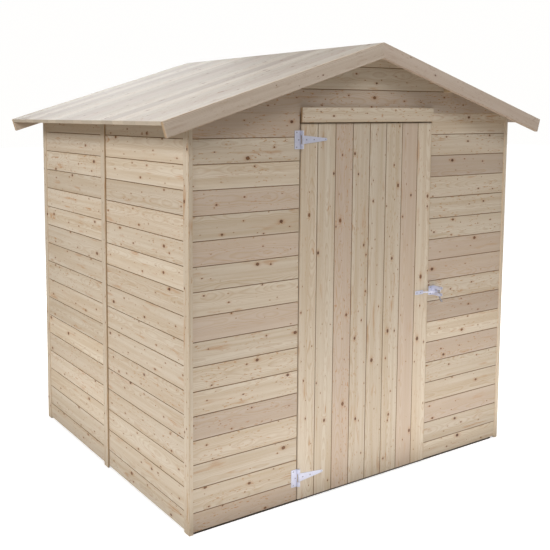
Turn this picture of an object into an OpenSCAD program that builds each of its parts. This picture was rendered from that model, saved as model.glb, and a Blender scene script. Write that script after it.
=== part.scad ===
// Wooden garden shed with a gable roof, one boarded door and a gate latch.
// Millimetres, +Z up, door wall facing -Y. Origin: middle of the footprint
// under the roof, on the ground.

/* [Body] */
// Width over the corner strips
body_w = 2085; // [1740:5:2500]
// Depth over the corner strips
body_d = 1705; // [1420:5:2050]
// Height of the wall panels above the ground
panel_top = 1874; // [1560:1:2250]
// Gap between the ground and the lowest board
board_gap = 9; // [8:1:12]
// Thickness of the wall boards
board_t = 16; // [14:1:20]
// Depth of the wall frame behind the boards
frame_t = 28; // [24:1:34]
// Width of a frame stud
stud_w = 45; // [38:1:54]
// Height of the lower frame rails
low_rail_h = 45; // [38:1:54]
// Height of the upper frame rails
top_rail_h = 65; // [60:1:78]

/* [Corners] */
// Thickness of a corner strip
strip_t = 22; // [20:1:26]
// How far a corner strip stands out from the end walls
strip_front = 5; // [3:1:6]
// How far a corner strip stands out from the side walls
strip_side = 4; // [3:1:6]
// Width of the strips that cover the panel joints
cover_w = 46; // [38:1:55]
// Thickness of the strips that cover the panel joints
cover_t = 9.5; // [8:0.5:12]

/* [Roof] */
// Roof pitch in degrees
pitch = 17; // [14:0.5:20]
// Thickness of the roof boards
roof_t = 18; // [15:1:22]
// Roof overhang beyond each side wall
eave_overhang = 171; // [140:1:200]
// Roof overhang in front of the corner strips
front_overhang = 85; // [75:1:102]
// Roof overhang behind the corner strips
back_overhang = 60; // [50:1:72]
// Depth of a barge board, across its length
barge_h = 72; // [66:1:86]
// Thickness of a barge board
barge_t = 20; // [16:1:24]
// Width of the ridge beam and of the purlins
beam_w = 45; // [38:1:54]
// Height of the ridge beam
beam_h = 50; // [42:1:52]
// Height of a purlin at its lower side
purlin_h = 36; // [30:1:43]

/* [Sill] */
// Thickness of the treated sill board under the end walls
sill_t = 6; // [5:1:7]
// How much shorter the sill is than the wall on the latch side
sill_short = 28; // [0:1:40]

/* [Door] */
// Width of the door leaf
door_w = 866; // [722:1:1000]
// Gap between the door leaf and the wall on each side
door_gap = 5; // [5:1:8]
// How far the header board hangs below the top of the wall panels
header_drop = 44; // [37:1:53]
// Height of the header board
header_h = 70; // [60:1:84]
// Thickness of the header board
header_t = 14; // [12:1:18]
// How far the leaf stands out from the wall boards
door_proud = 5; // [5:1:8]
// How far the door stops reach behind the leaf
stop_lap = 10; // [6:1:14]
// Height of a ledge on the inside of the door
ledge_h = 90; // [75:1:108]
// Thickness of the ledges and braces
ledge_t = 18; // [15:1:20]
// Width of a brace, measured along the ledge
brace_w = 95; // [80:1:114]

/* [Hinges] */
// Height of the lower hinge above the ground
low_hinge_z = 120; // [105:1:144]
// Distance from the top of the door down to the upper hinge
high_hinge_drop = 74; // [64:1:89]
// Height of the plate on the wall
plate_h = 86; // [76:1:100]
// Width of the plate on the wall, up to the pin
plate_w = 41; // [34:1:48]
// Length of the strap on the door from the pin
strap_len = 150; // [125:1:180]
// Height of the strap at the pin
strap_root_h = 41; // [34:1:46]
// Height of the strap at its tip
strap_tip_h = 12; // [10:1:16]
// Thickness of the hinge metal
hinge_t = 3; // [2.5:0.5:3]
// Diameter of the hinge pin
pin_d = 5; // [4:0.5:6]
// Outside diameter of the hinge knuckle
knuckle_d = 11; // [10:0.5:12]

/* [Latch] */
// Height of the striker bar above the ground
latch_z = 934; // [800:1:1100]
// Diameter of the striker bar
bar_d = 8; // [7:0.5:10]
// How far the striker bar stands in front of the wall boards
bar_out = 34; // [32:1:38]
// Length of the jaws that take the striker bar
jaw_len = 62; // [58:1:68]
// Height of the latch plate
latch_h = 48; // [45:1:54]
// Width of the slot between the jaws
slot_h = 19; // [17:1:21]
// Thickness of the latch metal
latch_t = 2.5; // [2:0.5:3]
// Thickness of the latch lever
lever_t = 6; // [5:0.5:6.5]
// Diameter of the lever's pin
lever_pin_d = 6; // [5:0.5:7]

/* [Hidden] */
$fn = 64;
running_clearance = 0.05;
half_w = body_w / 2;
roof_len = body_d + front_overhang + back_overhang;
front_y = -roof_len / 2 + front_overhang;
back_y = front_y + body_d;
middle_y = (front_y + back_y) / 2;
clad_y = front_y + strip_front;
frame_y = clad_y + board_t;
room_y = frame_y + frame_t;
strip_d = strip_front + board_t + frame_t - 3;
side_y = front_y + strip_d;
side_x = half_w - strip_side;
side_in_x = side_x - board_t;
room_x = side_in_x - frame_t;
wall_in_x = half_w - strip_t;
frame_end_x = min(wall_in_x, side_in_x);
slope = tan(pitch);
ridge_z = panel_top + roof_t / cos(pitch) + side_x * slope;
eave_x = half_w + eave_overhang;
top_rail_z = panel_top - top_rail_h;
purlin_x = half_w / 2;
open_x = door_w / 2 + door_gap;
leaf_x = door_w / 2;
header_z = panel_top - header_drop;
leaf_z0 = sill_t + 5;
leaf_z1 = header_z - 6;
leaf_y0 = clad_y - door_proud;
leaf_y1 = leaf_y0 + board_t;
ledge_inset = 35;
ledge_low_z = leaf_z0 + 100;
ledge_high_z = leaf_z1 - 100 - ledge_h;
ledge_mid_z = (ledge_low_z + ledge_high_z) / 2;
high_hinge_z = leaf_z1 - high_hinge_drop;
hinge_x = -leaf_x + 5;
hinge_y = leaf_y0 - knuckle_d / 2;
riser_x = -leaf_x - 1.5;
barrel_gap = 0.5;
bar_y = clad_y - bar_out;
bar_r = bar_d / 2;
bar_turn = 24;
bend_swell = 0.3;
bar_bend_x = open_x + 7;
bar_y0 = leaf_y0 - hinge_t - 1;
bar_slant = (bar_y0 - bar_y) / sin(bar_turn);
bar_x0 = bar_bend_x - bar_slant * cos(bar_turn);
bar_x1 = bar_bend_x + 55;
striker_l = 58;
striker_h = 20;
cheek_gap = lever_t + 2.5;
cheek_x = bar_bend_x + 25;
latch_x0 = open_x + 6;
latch_x1 = cheek_x + 2 * latch_t + cheek_gap;
latch_z0 = latch_z - 23;
slot_z = latch_z + 1;
slot_y = bar_y + bar_r + 6;
lever_x = cheek_x + latch_t + (cheek_gap - lever_t) / 2;
lever_y = bar_y - 10;
lever_z = latch_z + 19;

board_c = [0.83, 0.74, 0.6];
trim_c = [0.86, 0.78, 0.66];
frame_c = [0.8, 0.68, 0.5];
roof_c = [0.86, 0.82, 0.78];
sill_c = [0.25, 0.22, 0.16];
zinc_c = [0.72, 0.75, 0.82];
steel_c = [0.4, 0.4, 0.42];

// Height of the roof boards' underside at the distance x from the ridge.
function under_z(x) = ridge_z - roof_t / cos(pitch) - abs(x) * slope;

// A block between two corners.
module block(low, high) {
    translate(low)
        cube(high - low);
}

// An X-Z outline drawn out along Y from y0 to y1.
module along_y(points, y0, y1) {
    translate([0, y1, 0])
        rotate([90, 0, 0])
            linear_extrude(height = y1 - y0)
                polygon(points);
}

// A Y-Z outline drawn out along X from x0 to x1.
module along_x(x0, x1) {
    translate([x0, 0, 0])
        rotate([90, 0, 90])
            linear_extrude(height = x1 - x0)
                children();
}

module mirror_side() {
    mirror([1, 0, 0])
        children();
}

module mirror_end() {
    translate([0, 2 * middle_y, 0])
        mirror([0, 1, 0])
            children();
}

// An upright board whose top is cut to the roof's slope.
module sloped_post(x0, x1, y0, y1, z0) {
    along_y([[x0, z0], [x1, z0], [x1, under_z(x1)], [x0, under_z(x0)]], y0, y1);
}

// ---- sills ----

module front_sill() {
    color(sill_c)
        block([-wall_in_x + 2, clad_y + 2, 0], [wall_in_x - sill_short, room_y, sill_t]);
}

module back_sill() {
    mirror_end()
        color(sill_c)
            block([-wall_in_x + 2, clad_y + 2, 0], [wall_in_x - 2, room_y, sill_t]);
}

// ---- walls ----

module front_wall_left() {
    color(board_c)
        block([-wall_in_x, clad_y, board_gap], [-open_x, frame_y, panel_top]);
}

module front_wall_right() {
    color(board_c)
        block([open_x, clad_y, board_gap], [wall_in_x, frame_y, panel_top]);
}

module back_wall_left() {
    mirror_end()
        color(board_c)
            block([-wall_in_x, clad_y, board_gap], [0, frame_y, panel_top]);
}

module back_wall_right() {
    mirror_side()
        back_wall_left();
}

// The boards above the panels, notched round the ridge beam and the purlins.
module front_gable() {
    color(board_c)
        difference() {
            along_y([
                [-wall_in_x, panel_top],
                [wall_in_x, panel_top],
                [wall_in_x, under_z(wall_in_x)],
                [0, under_z(0)],
                [-wall_in_x, under_z(wall_in_x)]
            ], clad_y, frame_y);
            along_y(ridge_outline(10), clad_y - 1, frame_y + 1);
            for (side = [-1, 1])
                along_y(purlin_outline(side, 10), clad_y - 1, frame_y + 1);
        }
}

module back_gable() {
    mirror_end()
        front_gable();
}

module left_wall_front() {
    color(board_c)
        sloped_post(-side_x, -side_in_x, side_y, middle_y, board_gap);
}

module left_wall_rear() {
    mirror_end()
        left_wall_front();
}

module right_wall_front() {
    mirror_side()
        left_wall_front();
}

module right_wall_rear() {
    mirror_side()
        left_wall_rear();
}

// ---- corners and cover strips ----

module front_left_corner() {
    color(trim_c)
        sloped_post(-half_w, -wall_in_x, front_y, side_y, 0);
}

module front_right_corner() {
    mirror_side()
        front_left_corner();
}

module back_left_corner() {
    mirror_end()
        front_left_corner();
}

module back_right_corner() {
    mirror_side()
        back_left_corner();
}

module left_cover_strip() {
    color(trim_c)
        sloped_post(-side_x - cover_t, -side_x, middle_y - cover_w / 2, middle_y + cover_w / 2, 1);
}

module right_cover_strip() {
    mirror_side()
        left_cover_strip();
}

module back_cover_strip() {
    mirror_end()
        color(trim_c)
            block([-cover_w / 2, clad_y - cover_t, 1], [cover_w / 2, clad_y, panel_top + 60]);
}

// ---- frame inside the walls ----

module corner_studs() {
    color(frame_c)
        for (side = [0, 1])
            mirror([side, 0, 0]) {
                end_stud();
                mirror_end()
                    end_stud();
            }
}

// The stud beside a corner strip, between the lower and upper rails.
module end_stud() {
    block(
        [-frame_end_x, frame_y, sill_t + low_rail_h],
        [stud_w - frame_end_x, room_y, top_rail_z]
    );
}

// The studs beside the doorway. They reach behind the leaf as door stops.
module door_jambs() {
    color(frame_c)
        for (side = [0, 1])
            mirror([side, 0, 0])
                block(
                    [open_x - door_gap - stop_lap, frame_y, sill_t + low_rail_h],
                    [open_x - door_gap - stop_lap + stud_w, room_y, top_rail_z]
                );
}

module side_studs() {
    color(frame_c)
        for (side = [0, 1])
            mirror([side, 0, 0]) {
                side_stud(room_y);
                side_stud(middle_y - stud_w / 2);
                mirror_end()
                    side_stud(room_y);
            }
}

module side_stud(y0) {
    block([-side_in_x, y0, low_rail_h], [-room_x, y0 + stud_w, top_rail_z]);
}

module back_stud() {
    mirror_end()
        color(frame_c)
            block([-stud_w / 2, frame_y, sill_t + low_rail_h], [stud_w / 2, room_y, top_rail_z]);
}

module side_rails() {
    color(frame_c)
        for (side = [0, 1])
            mirror([side, 0, 0]) {
                side_rail(0, low_rail_h);
                side_rail(top_rail_z, panel_top);
            }
}

module side_rail(z0, z1) {
    block([-side_in_x, room_y, z0], [-room_x, 2 * middle_y - room_y, z1]);
}

// The rails of the end walls. The front upper rail crosses the doorway.
module end_rails() {
    color(frame_c) {
        for (side = [0, 1])
            mirror([side, 0, 0])
                block(
                    [open_x - door_gap - stop_lap, frame_y, sill_t],
                    [frame_end_x, room_y, sill_t + low_rail_h]
                );
        block([-frame_end_x, frame_y, top_rail_z], [frame_end_x, room_y, panel_top]);
        mirror_end() {
            block([-frame_end_x, frame_y, sill_t], [frame_end_x, room_y, sill_t + low_rail_h]);
            block([-frame_end_x, frame_y, top_rail_z], [frame_end_x, room_y, panel_top]);
        }
    }
}

// ---- door ----

module door_header() {
    color(trim_c)
        block([-leaf_x - 1, clad_y - header_t, header_z], [leaf_x + 1, clad_y, header_z + header_h]);
}

module door_leaf() {
    color(board_c)
        block([-leaf_x, leaf_y0, leaf_z0], [leaf_x, leaf_y1, leaf_z1]);
}

module door_ledges() {
    color(frame_c)
        for (z = [ledge_low_z, ledge_mid_z, ledge_high_z])
            block([ledge_inset - leaf_x, leaf_y1, z], [leaf_x - ledge_inset, leaf_y1 + ledge_t, z + ledge_h]);
}

// Two braces, each rising from the hinge side to the latch side.
module door_braces() {
    foot_x = ledge_inset - leaf_x;
    head_x = leaf_x - ledge_inset;
    color(frame_c)
        for (z = [ledge_low_z, ledge_mid_z])
            along_y([
                [foot_x, z + ledge_h],
                [foot_x + brace_w, z + ledge_h],
                [head_x, z + ledge_mid_z - ledge_low_z],
                [head_x - brace_w, z + ledge_mid_z - ledge_low_z]
            ], leaf_y1, leaf_y1 + ledge_t);
}

// ---- hinges ----

// The wall half of a T-hinge: plate, two knuckles and the pin.
module hinge_plate(z) {
    color(zinc_c) {
        translate([hinge_x, hinge_y, z]) {
            cylinder(d = pin_d, h = plate_h, center = true);
            for (side = [-1, 1])
                translate([0, 0, side * (plate_h / 2 + strap_root_h / 2 + barrel_gap) / 2])
                    cylinder(d = knuckle_d, h = (plate_h - strap_root_h) / 2 - barrel_gap, center = true);
        }
        block(
            [hinge_x - plate_w, clad_y - hinge_t, z - plate_h / 2],
            [riser_x, clad_y, z + plate_h / 2]
        );
        plate_riser(z + strap_root_h / 2 + barrel_gap, z + plate_h / 2);
        plate_riser(z - plate_h / 2, z - strap_root_h / 2 - barrel_gap);
    }
}

// The step in the plate that brings it forward to one knuckle, beside the leaf.
module plate_riser(z0, z1) {
    block([riser_x - hinge_t, hinge_y, z0], [riser_x, clad_y - hinge_t / 2, z1]);
    block([riser_x - hinge_t, hinge_y - hinge_t / 2, z0], [hinge_x - 3, hinge_y + hinge_t / 2, z1]);
}

// The door half of a T-hinge: a tapering strap on a bored knuckle.
module hinge_strap(z) {
    tip_x = hinge_x + strap_len - strap_tip_h / 2;
    color(zinc_c)
        difference() {
            union() {
                translate([hinge_x, hinge_y, z])
                    cylinder(d = knuckle_d, h = strap_root_h, center = true);
                along_y([
                    [hinge_x + 2, z - strap_root_h / 2],
                    [tip_x, z - strap_tip_h / 2],
                    [tip_x, z + strap_tip_h / 2],
                    [hinge_x + 2, z + strap_root_h / 2]
                ], leaf_y0 - hinge_t, leaf_y0);
                translate([tip_x, leaf_y0, z])
                    rotate([90, 0, 0])
                        cylinder(d = strap_tip_h, h = hinge_t);
            }
            translate([hinge_x, hinge_y, z])
                cylinder(d = pin_d + 2 * running_clearance, h = strap_root_h + 2, center = true);
        }
}

module upper_hinge_plate() {
    hinge_plate(high_hinge_z);
}

module lower_hinge_plate() {
    hinge_plate(low_hinge_z);
}

module upper_hinge_strap() {
    hinge_strap(high_hinge_z);
}

module lower_hinge_strap() {
    hinge_strap(low_hinge_z);
}

// ---- latch ----

// The plate on the door and the round bar bent out to the latch.
module striker_bar() {
    color(zinc_c) {
        block(
            [bar_x0 - striker_l + 8, leaf_y0 - hinge_t, latch_z - striker_h / 2],
            [bar_x0 + 8, leaf_y0, latch_z + striker_h / 2]
        );
        translate([bar_x0, bar_y0, latch_z])
            rotate([0, 90, -bar_turn])
                cylinder(r = bar_r, h = bar_slant);
        translate([bar_bend_x, bar_y, latch_z]) {
            sphere(r = bar_r + bend_swell);
            rotate([0, 90, 0])
                cylinder(r = bar_r, h = bar_x1 - bar_bend_x);
        }
    }
}

// One cheek of the latch: two jaws with the slot for the bar between them.
module latch_cheek(x0) {
    jaw_y = clad_y - jaw_len;
    slot_low = slot_z - slot_h / 2;
    slot_high = slot_z + slot_h / 2;
    along_x(x0, x0 + latch_t)
        polygon([
            [clad_y, latch_z0],
            [clad_y, latch_z0 + latch_h],
            [jaw_y, latch_z0 + latch_h + 1],
            [jaw_y, slot_high + 3],
            [jaw_y + 10, slot_high],
            [slot_y, slot_high],
            [slot_y, slot_low],
            [jaw_y + 10, slot_low],
            [jaw_y, slot_low - 2],
            [jaw_y, latch_z0]
        ]);
}

module latch_body() {
    color(zinc_c) {
        block([latch_x0, clad_y - latch_t, latch_z0], [latch_x1, clad_y, latch_z0 + latch_h]);
        latch_cheek(cheek_x);
        latch_cheek(cheek_x + latch_t + cheek_gap);
        translate([cheek_x, lever_y, lever_z])
            rotate([0, 90, 0])
                cylinder(d = lever_pin_d, h = 2 * latch_t + cheek_gap);
    }
}

// The lever that hangs in front of the bar and ends in a curved tail.
module latch_lever() {
    color(steel_c)
        difference() {
            along_x(lever_x, lever_x + lever_t)
                union() {
                    lever_limb([lever_y, lever_z], 7, [lever_y - 1.5, latch_z], 3);
                    lever_limb([lever_y - 1.5, latch_z], 3, [lever_y - 1, latch_z - 20], 3.5);
                    lever_limb([lever_y - 1, latch_z - 20], 3.5, [lever_y - 7, latch_z - 35], 4);
                    lever_limb([lever_y - 7, latch_z - 35], 4, [lever_y - 20, latch_z - 47], 5);
                }
            translate([lever_x - 1, lever_y, lever_z])
                rotate([0, 90, 0])
                    cylinder(d = lever_pin_d + 2 * running_clearance, h = lever_t + 2);
        }
}

module lever_limb(from, from_r, to, to_r) {
    hull() {
        translate(from)
            circle(r = from_r, $fn = 32);
        translate(to)
            circle(r = to_r, $fn = 32);
    }
}

// ---- roof ----

// The outline of one roof slope of the given thickness, cut square at the eave.
function slope_outline(thick) = [
    [0, ridge_z],
    [-eave_x, ridge_z - eave_x * slope],
    [-eave_x + thick * sin(pitch), ridge_z - eave_x * slope - thick * cos(pitch)],
    [0, ridge_z - thick / cos(pitch)]
];

// The ridge beam's outline; extra raises its top when it is used as a cutter.
function ridge_outline(extra) = [
    [-beam_w / 2, under_z(0) - beam_h],
    [beam_w / 2, under_z(0) - beam_h],
    [beam_w / 2, under_z(beam_w / 2) + extra],
    [0, under_z(0) + extra],
    [-beam_w / 2, under_z(beam_w / 2) + extra]
];

// A purlin's outline on one side, with the same use of extra.
function purlin_outline(side, extra) = [
    [side * purlin_x, under_z(purlin_x + beam_w) - purlin_h],
    [side * (purlin_x + beam_w), under_z(purlin_x + beam_w) - purlin_h],
    [side * (purlin_x + beam_w), under_z(purlin_x + beam_w) + extra],
    [side * purlin_x, under_z(purlin_x) + extra]
];

module roof_left() {
    color(roof_c)
        along_y(slope_outline(roof_t), -roof_len / 2 + barge_t, roof_len / 2 - barge_t);
}

module roof_right() {
    mirror_side()
        roof_left();
}

module ridge_beam() {
    color(frame_c)
        along_y(ridge_outline(0), -roof_len / 2 + barge_t, roof_len / 2 - barge_t);
}

module purlins() {
    color(frame_c)
        for (side = [-1, 1])
            along_y(purlin_outline(side, 0), -roof_len / 2 + barge_t, roof_len / 2 - barge_t);
}

module front_left_barge() {
    color(trim_c)
        along_y(slope_outline(barge_h), -roof_len / 2, -roof_len / 2 + barge_t);
}

module front_right_barge() {
    mirror_side()
        front_left_barge();
}

module back_left_barge() {
    color(trim_c)
        along_y(slope_outline(barge_h), roof_len / 2 - barge_t, roof_len / 2);
}

module back_right_barge() {
    mirror_side()
        back_left_barge();
}

front_sill();
back_sill();
front_wall_left();
front_wall_right();
front_gable();
back_wall_left();
back_wall_right();
back_gable();
left_wall_front();
left_wall_rear();
right_wall_front();
right_wall_rear();
front_left_corner();
front_right_corner();
back_left_corner();
back_right_corner();
left_cover_strip();
right_cover_strip();
back_cover_strip();
corner_studs();
door_jambs();
side_studs();
back_stud();
side_rails();
end_rails();
door_header();
door_leaf();
door_ledges();
door_braces();
upper_hinge_plate();
lower_hinge_plate();
upper_hinge_strap();
lower_hinge_strap();
striker_bar();
latch_body();
latch_lever();
roof_left();
roof_right();
ridge_beam();
purlins();
front_left_barge();
front_right_barge();
back_left_barge();
back_right_barge();
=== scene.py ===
"""Wooden garden shed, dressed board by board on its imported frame.

Walls, gables, roof slopes and the door are rebuilt from single tongue and groove boards,
and the strips, studs and rails from timber with eased edges. The steel fittings get rolled
barrels, countersunk screws and a bent bar. Metres, +Z up, the door wall faces -Y.
"""

import logging
import math
from dataclasses import dataclass, replace
from enum import Enum
from typing import Callable, Optional, Sequence, Union

import bpy
import numpy as np
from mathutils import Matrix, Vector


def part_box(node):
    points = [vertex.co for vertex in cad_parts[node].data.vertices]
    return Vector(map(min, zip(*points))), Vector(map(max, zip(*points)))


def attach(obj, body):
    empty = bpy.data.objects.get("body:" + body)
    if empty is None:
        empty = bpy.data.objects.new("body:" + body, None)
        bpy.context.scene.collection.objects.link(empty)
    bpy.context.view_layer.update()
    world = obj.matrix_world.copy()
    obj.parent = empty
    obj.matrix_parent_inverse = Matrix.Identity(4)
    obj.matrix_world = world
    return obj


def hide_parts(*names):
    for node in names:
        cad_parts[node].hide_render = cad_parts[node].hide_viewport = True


logging.basicConfig(level=logging.INFO, format="%(name)s: %(message)s")
log = logging.getLogger("shed")
Array = np.ndarray
Colour = tuple[float, float, float]
Reach = Callable[[Array, Array], tuple[Array, Array]]

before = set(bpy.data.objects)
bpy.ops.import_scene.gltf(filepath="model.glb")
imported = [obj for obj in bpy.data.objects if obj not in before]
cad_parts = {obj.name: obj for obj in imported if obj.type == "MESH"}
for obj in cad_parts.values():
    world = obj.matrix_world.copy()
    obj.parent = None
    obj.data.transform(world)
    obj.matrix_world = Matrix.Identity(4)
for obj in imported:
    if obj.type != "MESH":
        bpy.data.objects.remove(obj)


def paint(red: int, green: int, blue: int) -> Colour:
    """Turns a display colour of 0 to 255 a channel into linear light."""
    shares = np.array([red, green, blue]) / 255
    linear = np.where(shares < 0.04045, shares / 12.92, ((shares + 0.055) / 1.055) ** 2.4)
    return tuple(float(c) for c in linear)


# ---------------------------------------------------------------- surfaces


class Axis(Enum):
    """A direction that straight timber runs in, with the two across it."""

    X = (0, 1, 2)
    Y = (1, 2, 0)
    Z = (2, 0, 1)


@dataclass(frozen=True)
class Timber:
    """Where a length of wood lay in its tree, and how it looks.

    shift: metres that its pattern is moved along, so no two lengths match.
    tone: rosiness, lightness and knottiness.
    heart: how far the heart of the tree lies across and behind it, in metres.
    """

    shift: float
    tone: Colour
    heart: tuple[float, float]


@dataclass
class Surface:
    """A closed skin, with what each point and face tells the finish.

    points: places, one row each.
    faces: blocks of point numbers, one face a row.
    cut: a value for each face: 0 on a long face, 0.5 on an eased edge, 0.8 on a cover strip's
    narrow side, tinted as painted warm bounce light, 1 on a sawn end, about 1.4 on the slope
    beside a joint, about 2 inside the joint and 3 on a screw. On wood, values above 1 mix in
    painted shade.
    soft: whether each face is shaded smooth.
    grain: metres along, across and out of the timber, for each point.
    tone: the timber's tone, for each point.
    heart: the heart's offsets and half the timber's width, for each point.
    """

    points: Array
    faces: list[Array]
    cut: Array
    soft: Array
    grain: Array
    tone: Array
    heart: Array

    @classmethod
    def bare(cls, points: Array, faces: list[Array], soft: bool) -> "Surface":
        """A surface with no timber in it, all smooth or all flat."""
        count = sum(len(block) for block in faces)
        empty = np.zeros((len(points), 3))
        return cls(points, faces, np.zeros(count), np.full(count, soft), empty, empty, empty)

    @classmethod
    def joined(cls, parts: Sequence["Surface"]) -> "Surface":
        """Puts several surfaces into one, each still closed by itself."""
        starts = np.cumsum([0] + [len(part.points) for part in parts[:-1]])
        faces = [block + start for part, start in zip(parts, starts) for block in part.faces]
        names = ("points", "cut", "soft", "grain", "tone", "heart")
        points, *values = (np.concatenate([getattr(part, name) for part in parts]) for name in names)
        return cls(points, faces, *values)

    def moved(self, points: Array) -> "Surface":
        """The same surface with its points at new places."""
        return replace(self, points=points)


@dataclass(frozen=True)
class Outline:
    """The closed edge of a cross-section.

    corners: u, v, first station and last station of each corner, one row each.
    edge: for each corner, the cut value of the side that starts there.
    """

    corners: Array
    edge: Array

    @classmethod
    def eased(cls, corners: Array, radius: float, steps: int = 3) -> "Outline":
        """Rounds every corner of an outline.

        A corner P between A and B becomes the curve (1-t)^2 F + 2t(1-t) P + t^2 L, where F
        and L lie the radius away from P towards A and B. Stations follow the same curve.

        Args:
            corners: u, v and the two stations of each corner.
            radius: how far the rounding reaches along each side.
            steps: sides in each rounded corner.

        Returns:
            The rounded outline.
        """
        before = np.roll(corners, 1, axis=0) - corners
        after = np.roll(corners, -1, axis=0) - corners
        first = corners + before * (radius / np.linalg.norm(before[:, :2], axis=1))[:, None]
        last = corners + after * (radius / np.linalg.norm(after[:, :2], axis=1))[:, None]
        t = np.linspace(0, 1, steps + 1)[None, :, None]
        curve = (1 - t) ** 2 * first[:, None] + 2 * t * (1 - t) * corners[:, None] + t**2 * last[:, None]
        edge = np.tile(np.r_[np.full(steps, 0.5), 0.0], len(corners))
        return cls(curve.reshape(-1, 4), edge)

    def with_bounce_tinted_sides(self, value: float = 0.8) -> "Outline":
        """The same outline with the sides across its longer way marked for the sawn-end colour, as painted
        warm bounce light.
        """
        step = np.abs(np.roll(self.corners, -1, axis=0) - self.corners)[:, :2]
        size = np.ptp(self.corners[:, :2], axis=0)
        wide = int(size[1] > size[0])
        narrow_side = step[:, 1 - wide] > 4 * step[:, wide]
        return Outline(self.corners, np.where(narrow_side, value, self.edge))


@dataclass(frozen=True)
class Place:
    """Where an outline is carried: its start, its way, and its two directions across."""

    start: Sequence[float]
    along: Sequence[float]
    across: Sequence[float]
    out: Sequence[float]


def skin(levels: int, count: int) -> tuple[Array, list[Array]]:
    """The faces of rings of points that follow each other.

    Args:
        levels: how many rings.
        count: points in each ring.

    Returns:
        The four-sided faces between the rings, and one face for each end.
    """
    here = np.arange(levels - 1)[:, None] * count + np.arange(count)
    aside = np.arange(levels - 1)[:, None] * count + (np.arange(count) + 1) % count
    sides = np.stack([here, aside, aside + count, here + count], axis=-1).reshape(-1, 4)
    return sides, [np.arange(count)[::-1][None], np.arange(count)[None] + (levels - 1) * count]


def carried(
    outline: Outline,
    place: Place,
    timber: Optional[Timber] = None,
    ease: tuple[float, float] = (0.0, 0.0),
    soft: bool = False,
) -> Surface:
    """Carries an outline along a straight line and closes both ends.

    A point is start + s along + u across + v out. Each corner has its own first and last
    station s, so an end may be cut on a slope. An eased end has one more ring, which is
    drawn in towards the middle of the outline.

    Args:
        outline: the cross-section.
        place: the line and the directions across it.
        timber: the wood it is made of, or None.
        ease: how far each end is bevelled.
        soft: whether the sides are shaded smooth.

    Returns:
        The closed surface, faces outward.
    """
    flat = outline.corners[:, :2]
    low, high = flat.min(axis=0), flat.max(axis=0)
    middle, half = (low + high) / 2, (high - low) / 2
    rings, stations = [flat, flat], [outline.corners[:, 2], outline.corners[:, 3]]
    if ease[0]:
        rings.insert(0, middle + (flat - middle) * (1 - ease[0] / half))
        stations.insert(0, stations[0])
        stations[1] = stations[1] + ease[0]
    if ease[1]:
        rings.append(middle + (flat - middle) * (1 - ease[1] / half))
        stations.append(stations[-1])
        stations[-2] = stations[-2] - ease[1]
    uv, s = np.array(rings), np.array(stations)
    axes = [np.asarray(v, float) for v in (place.along, place.across, place.out)]
    points = np.asarray(place.start, float) + s[..., None] * axes[0]
    points = points + uv[..., :1] * axes[1] + uv[..., 1:] * axes[2]
    levels, count = s.shape
    sides, ends = skin(levels, count)
    area = np.sum(flat[:, 0] * np.roll(flat[:, 1], -1) - np.roll(flat[:, 0], -1) * flat[:, 1])
    if area * np.dot(np.cross(axes[1], axes[2]), axes[0]) < 0:
        sides, ends = sides[:, ::-1], [end[:, ::-1] for end in ends]
    rim = np.zeros(levels - 1)
    rim[0] = 0.5 * bool(ease[0])
    rim[-1] = max(rim[-1], 0.5 * bool(ease[1]))
    cut = np.maximum(rim[:, None], outline.edge[None, :]).ravel()
    wide = int(half[1] > half[0])
    offset = uv - middle
    grain = np.stack([s, offset[..., wide], offset[..., 1 - wide]], axis=-1).reshape(-1, 3)
    timber = timber or Timber(0.0, (0, 0, 0), (0, 0.05))
    grain[:, 0] += timber.shift
    total = levels * count
    return Surface(
        points.reshape(-1, 3),
        [sides, *ends],
        np.r_[cut, 1.0, 1.0],
        np.r_[np.full(len(sides), soft), False, False],
        grain,
        np.tile(timber.tone, (total, 1)),
        np.tile([*timber.heart, half[wide]], (total, 1)),
    )


def grid(points: Array) -> Surface:
    """Joins rings of points into one smooth closed skin.

    Args:
        points: rings by points by 3. The rings at both ends have shrunk to a small hole.

    Returns:
        The surface, its two end holes filled.
    """
    sides, ends = skin(*points.shape[:2])
    flat = points.reshape(-1, 3)
    corner = flat[sides]
    middle = flat.mean(axis=0)
    normal = np.cross(corner[:, 2] - corner[:, 0], corner[:, 3] - corner[:, 1])
    if np.sum(normal * (corner.mean(axis=1) - middle)) < 0:
        sides, ends = sides[:, ::-1], [end[:, ::-1] for end in ends]
    return Surface.bare(flat, [sides, *ends], True)


def piece(
    name: str, surface: Surface, material: bpy.types.Material, body: str, slot: str, *nodes: str
) -> bpy.types.Object:
    """Makes a surface into an object that stands for CAD nodes.

    Args:
        name: the piece's name.
        surface: its skin.
        material: its finish.
        body: the CAD body it moves with.
        slot: the record's material slot; not used.
        nodes: the CAD nodes it stands for.

    Returns:
        The object, at the origin.
    """
    mesh = bpy.data.meshes.new(name)
    faces = [row for block in surface.faces for row in block.tolist()]
    mesh.from_pydata(surface.points.tolist(), [], faces)
    mesh.polygons.foreach_set("use_smooth", surface.soft.astype(bool))
    for key in ("grain", "tone", "heart"):
        layer = mesh.attributes.new(key, "FLOAT_VECTOR", "POINT")
        layer.data.foreach_set("vector", getattr(surface, key).astype(np.float32).ravel())
    layer = mesh.attributes.new("cut", "FLOAT", "FACE")
    layer.data.foreach_set("value", surface.cut.astype(np.float32))
    mesh.materials.append(material)
    mesh.update()
    made = bpy.data.objects.new(name, mesh)
    bpy.context.scene.collection.objects.link(made)
    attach(made, body)
    if nodes:
        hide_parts(*nodes)
    log.info("%s: %d faces on %s", name, len(faces), body)
    return made


# ---------------------------------------------------------------- finishes

Input = Union["Link", float, Sequence[float]]


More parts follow.
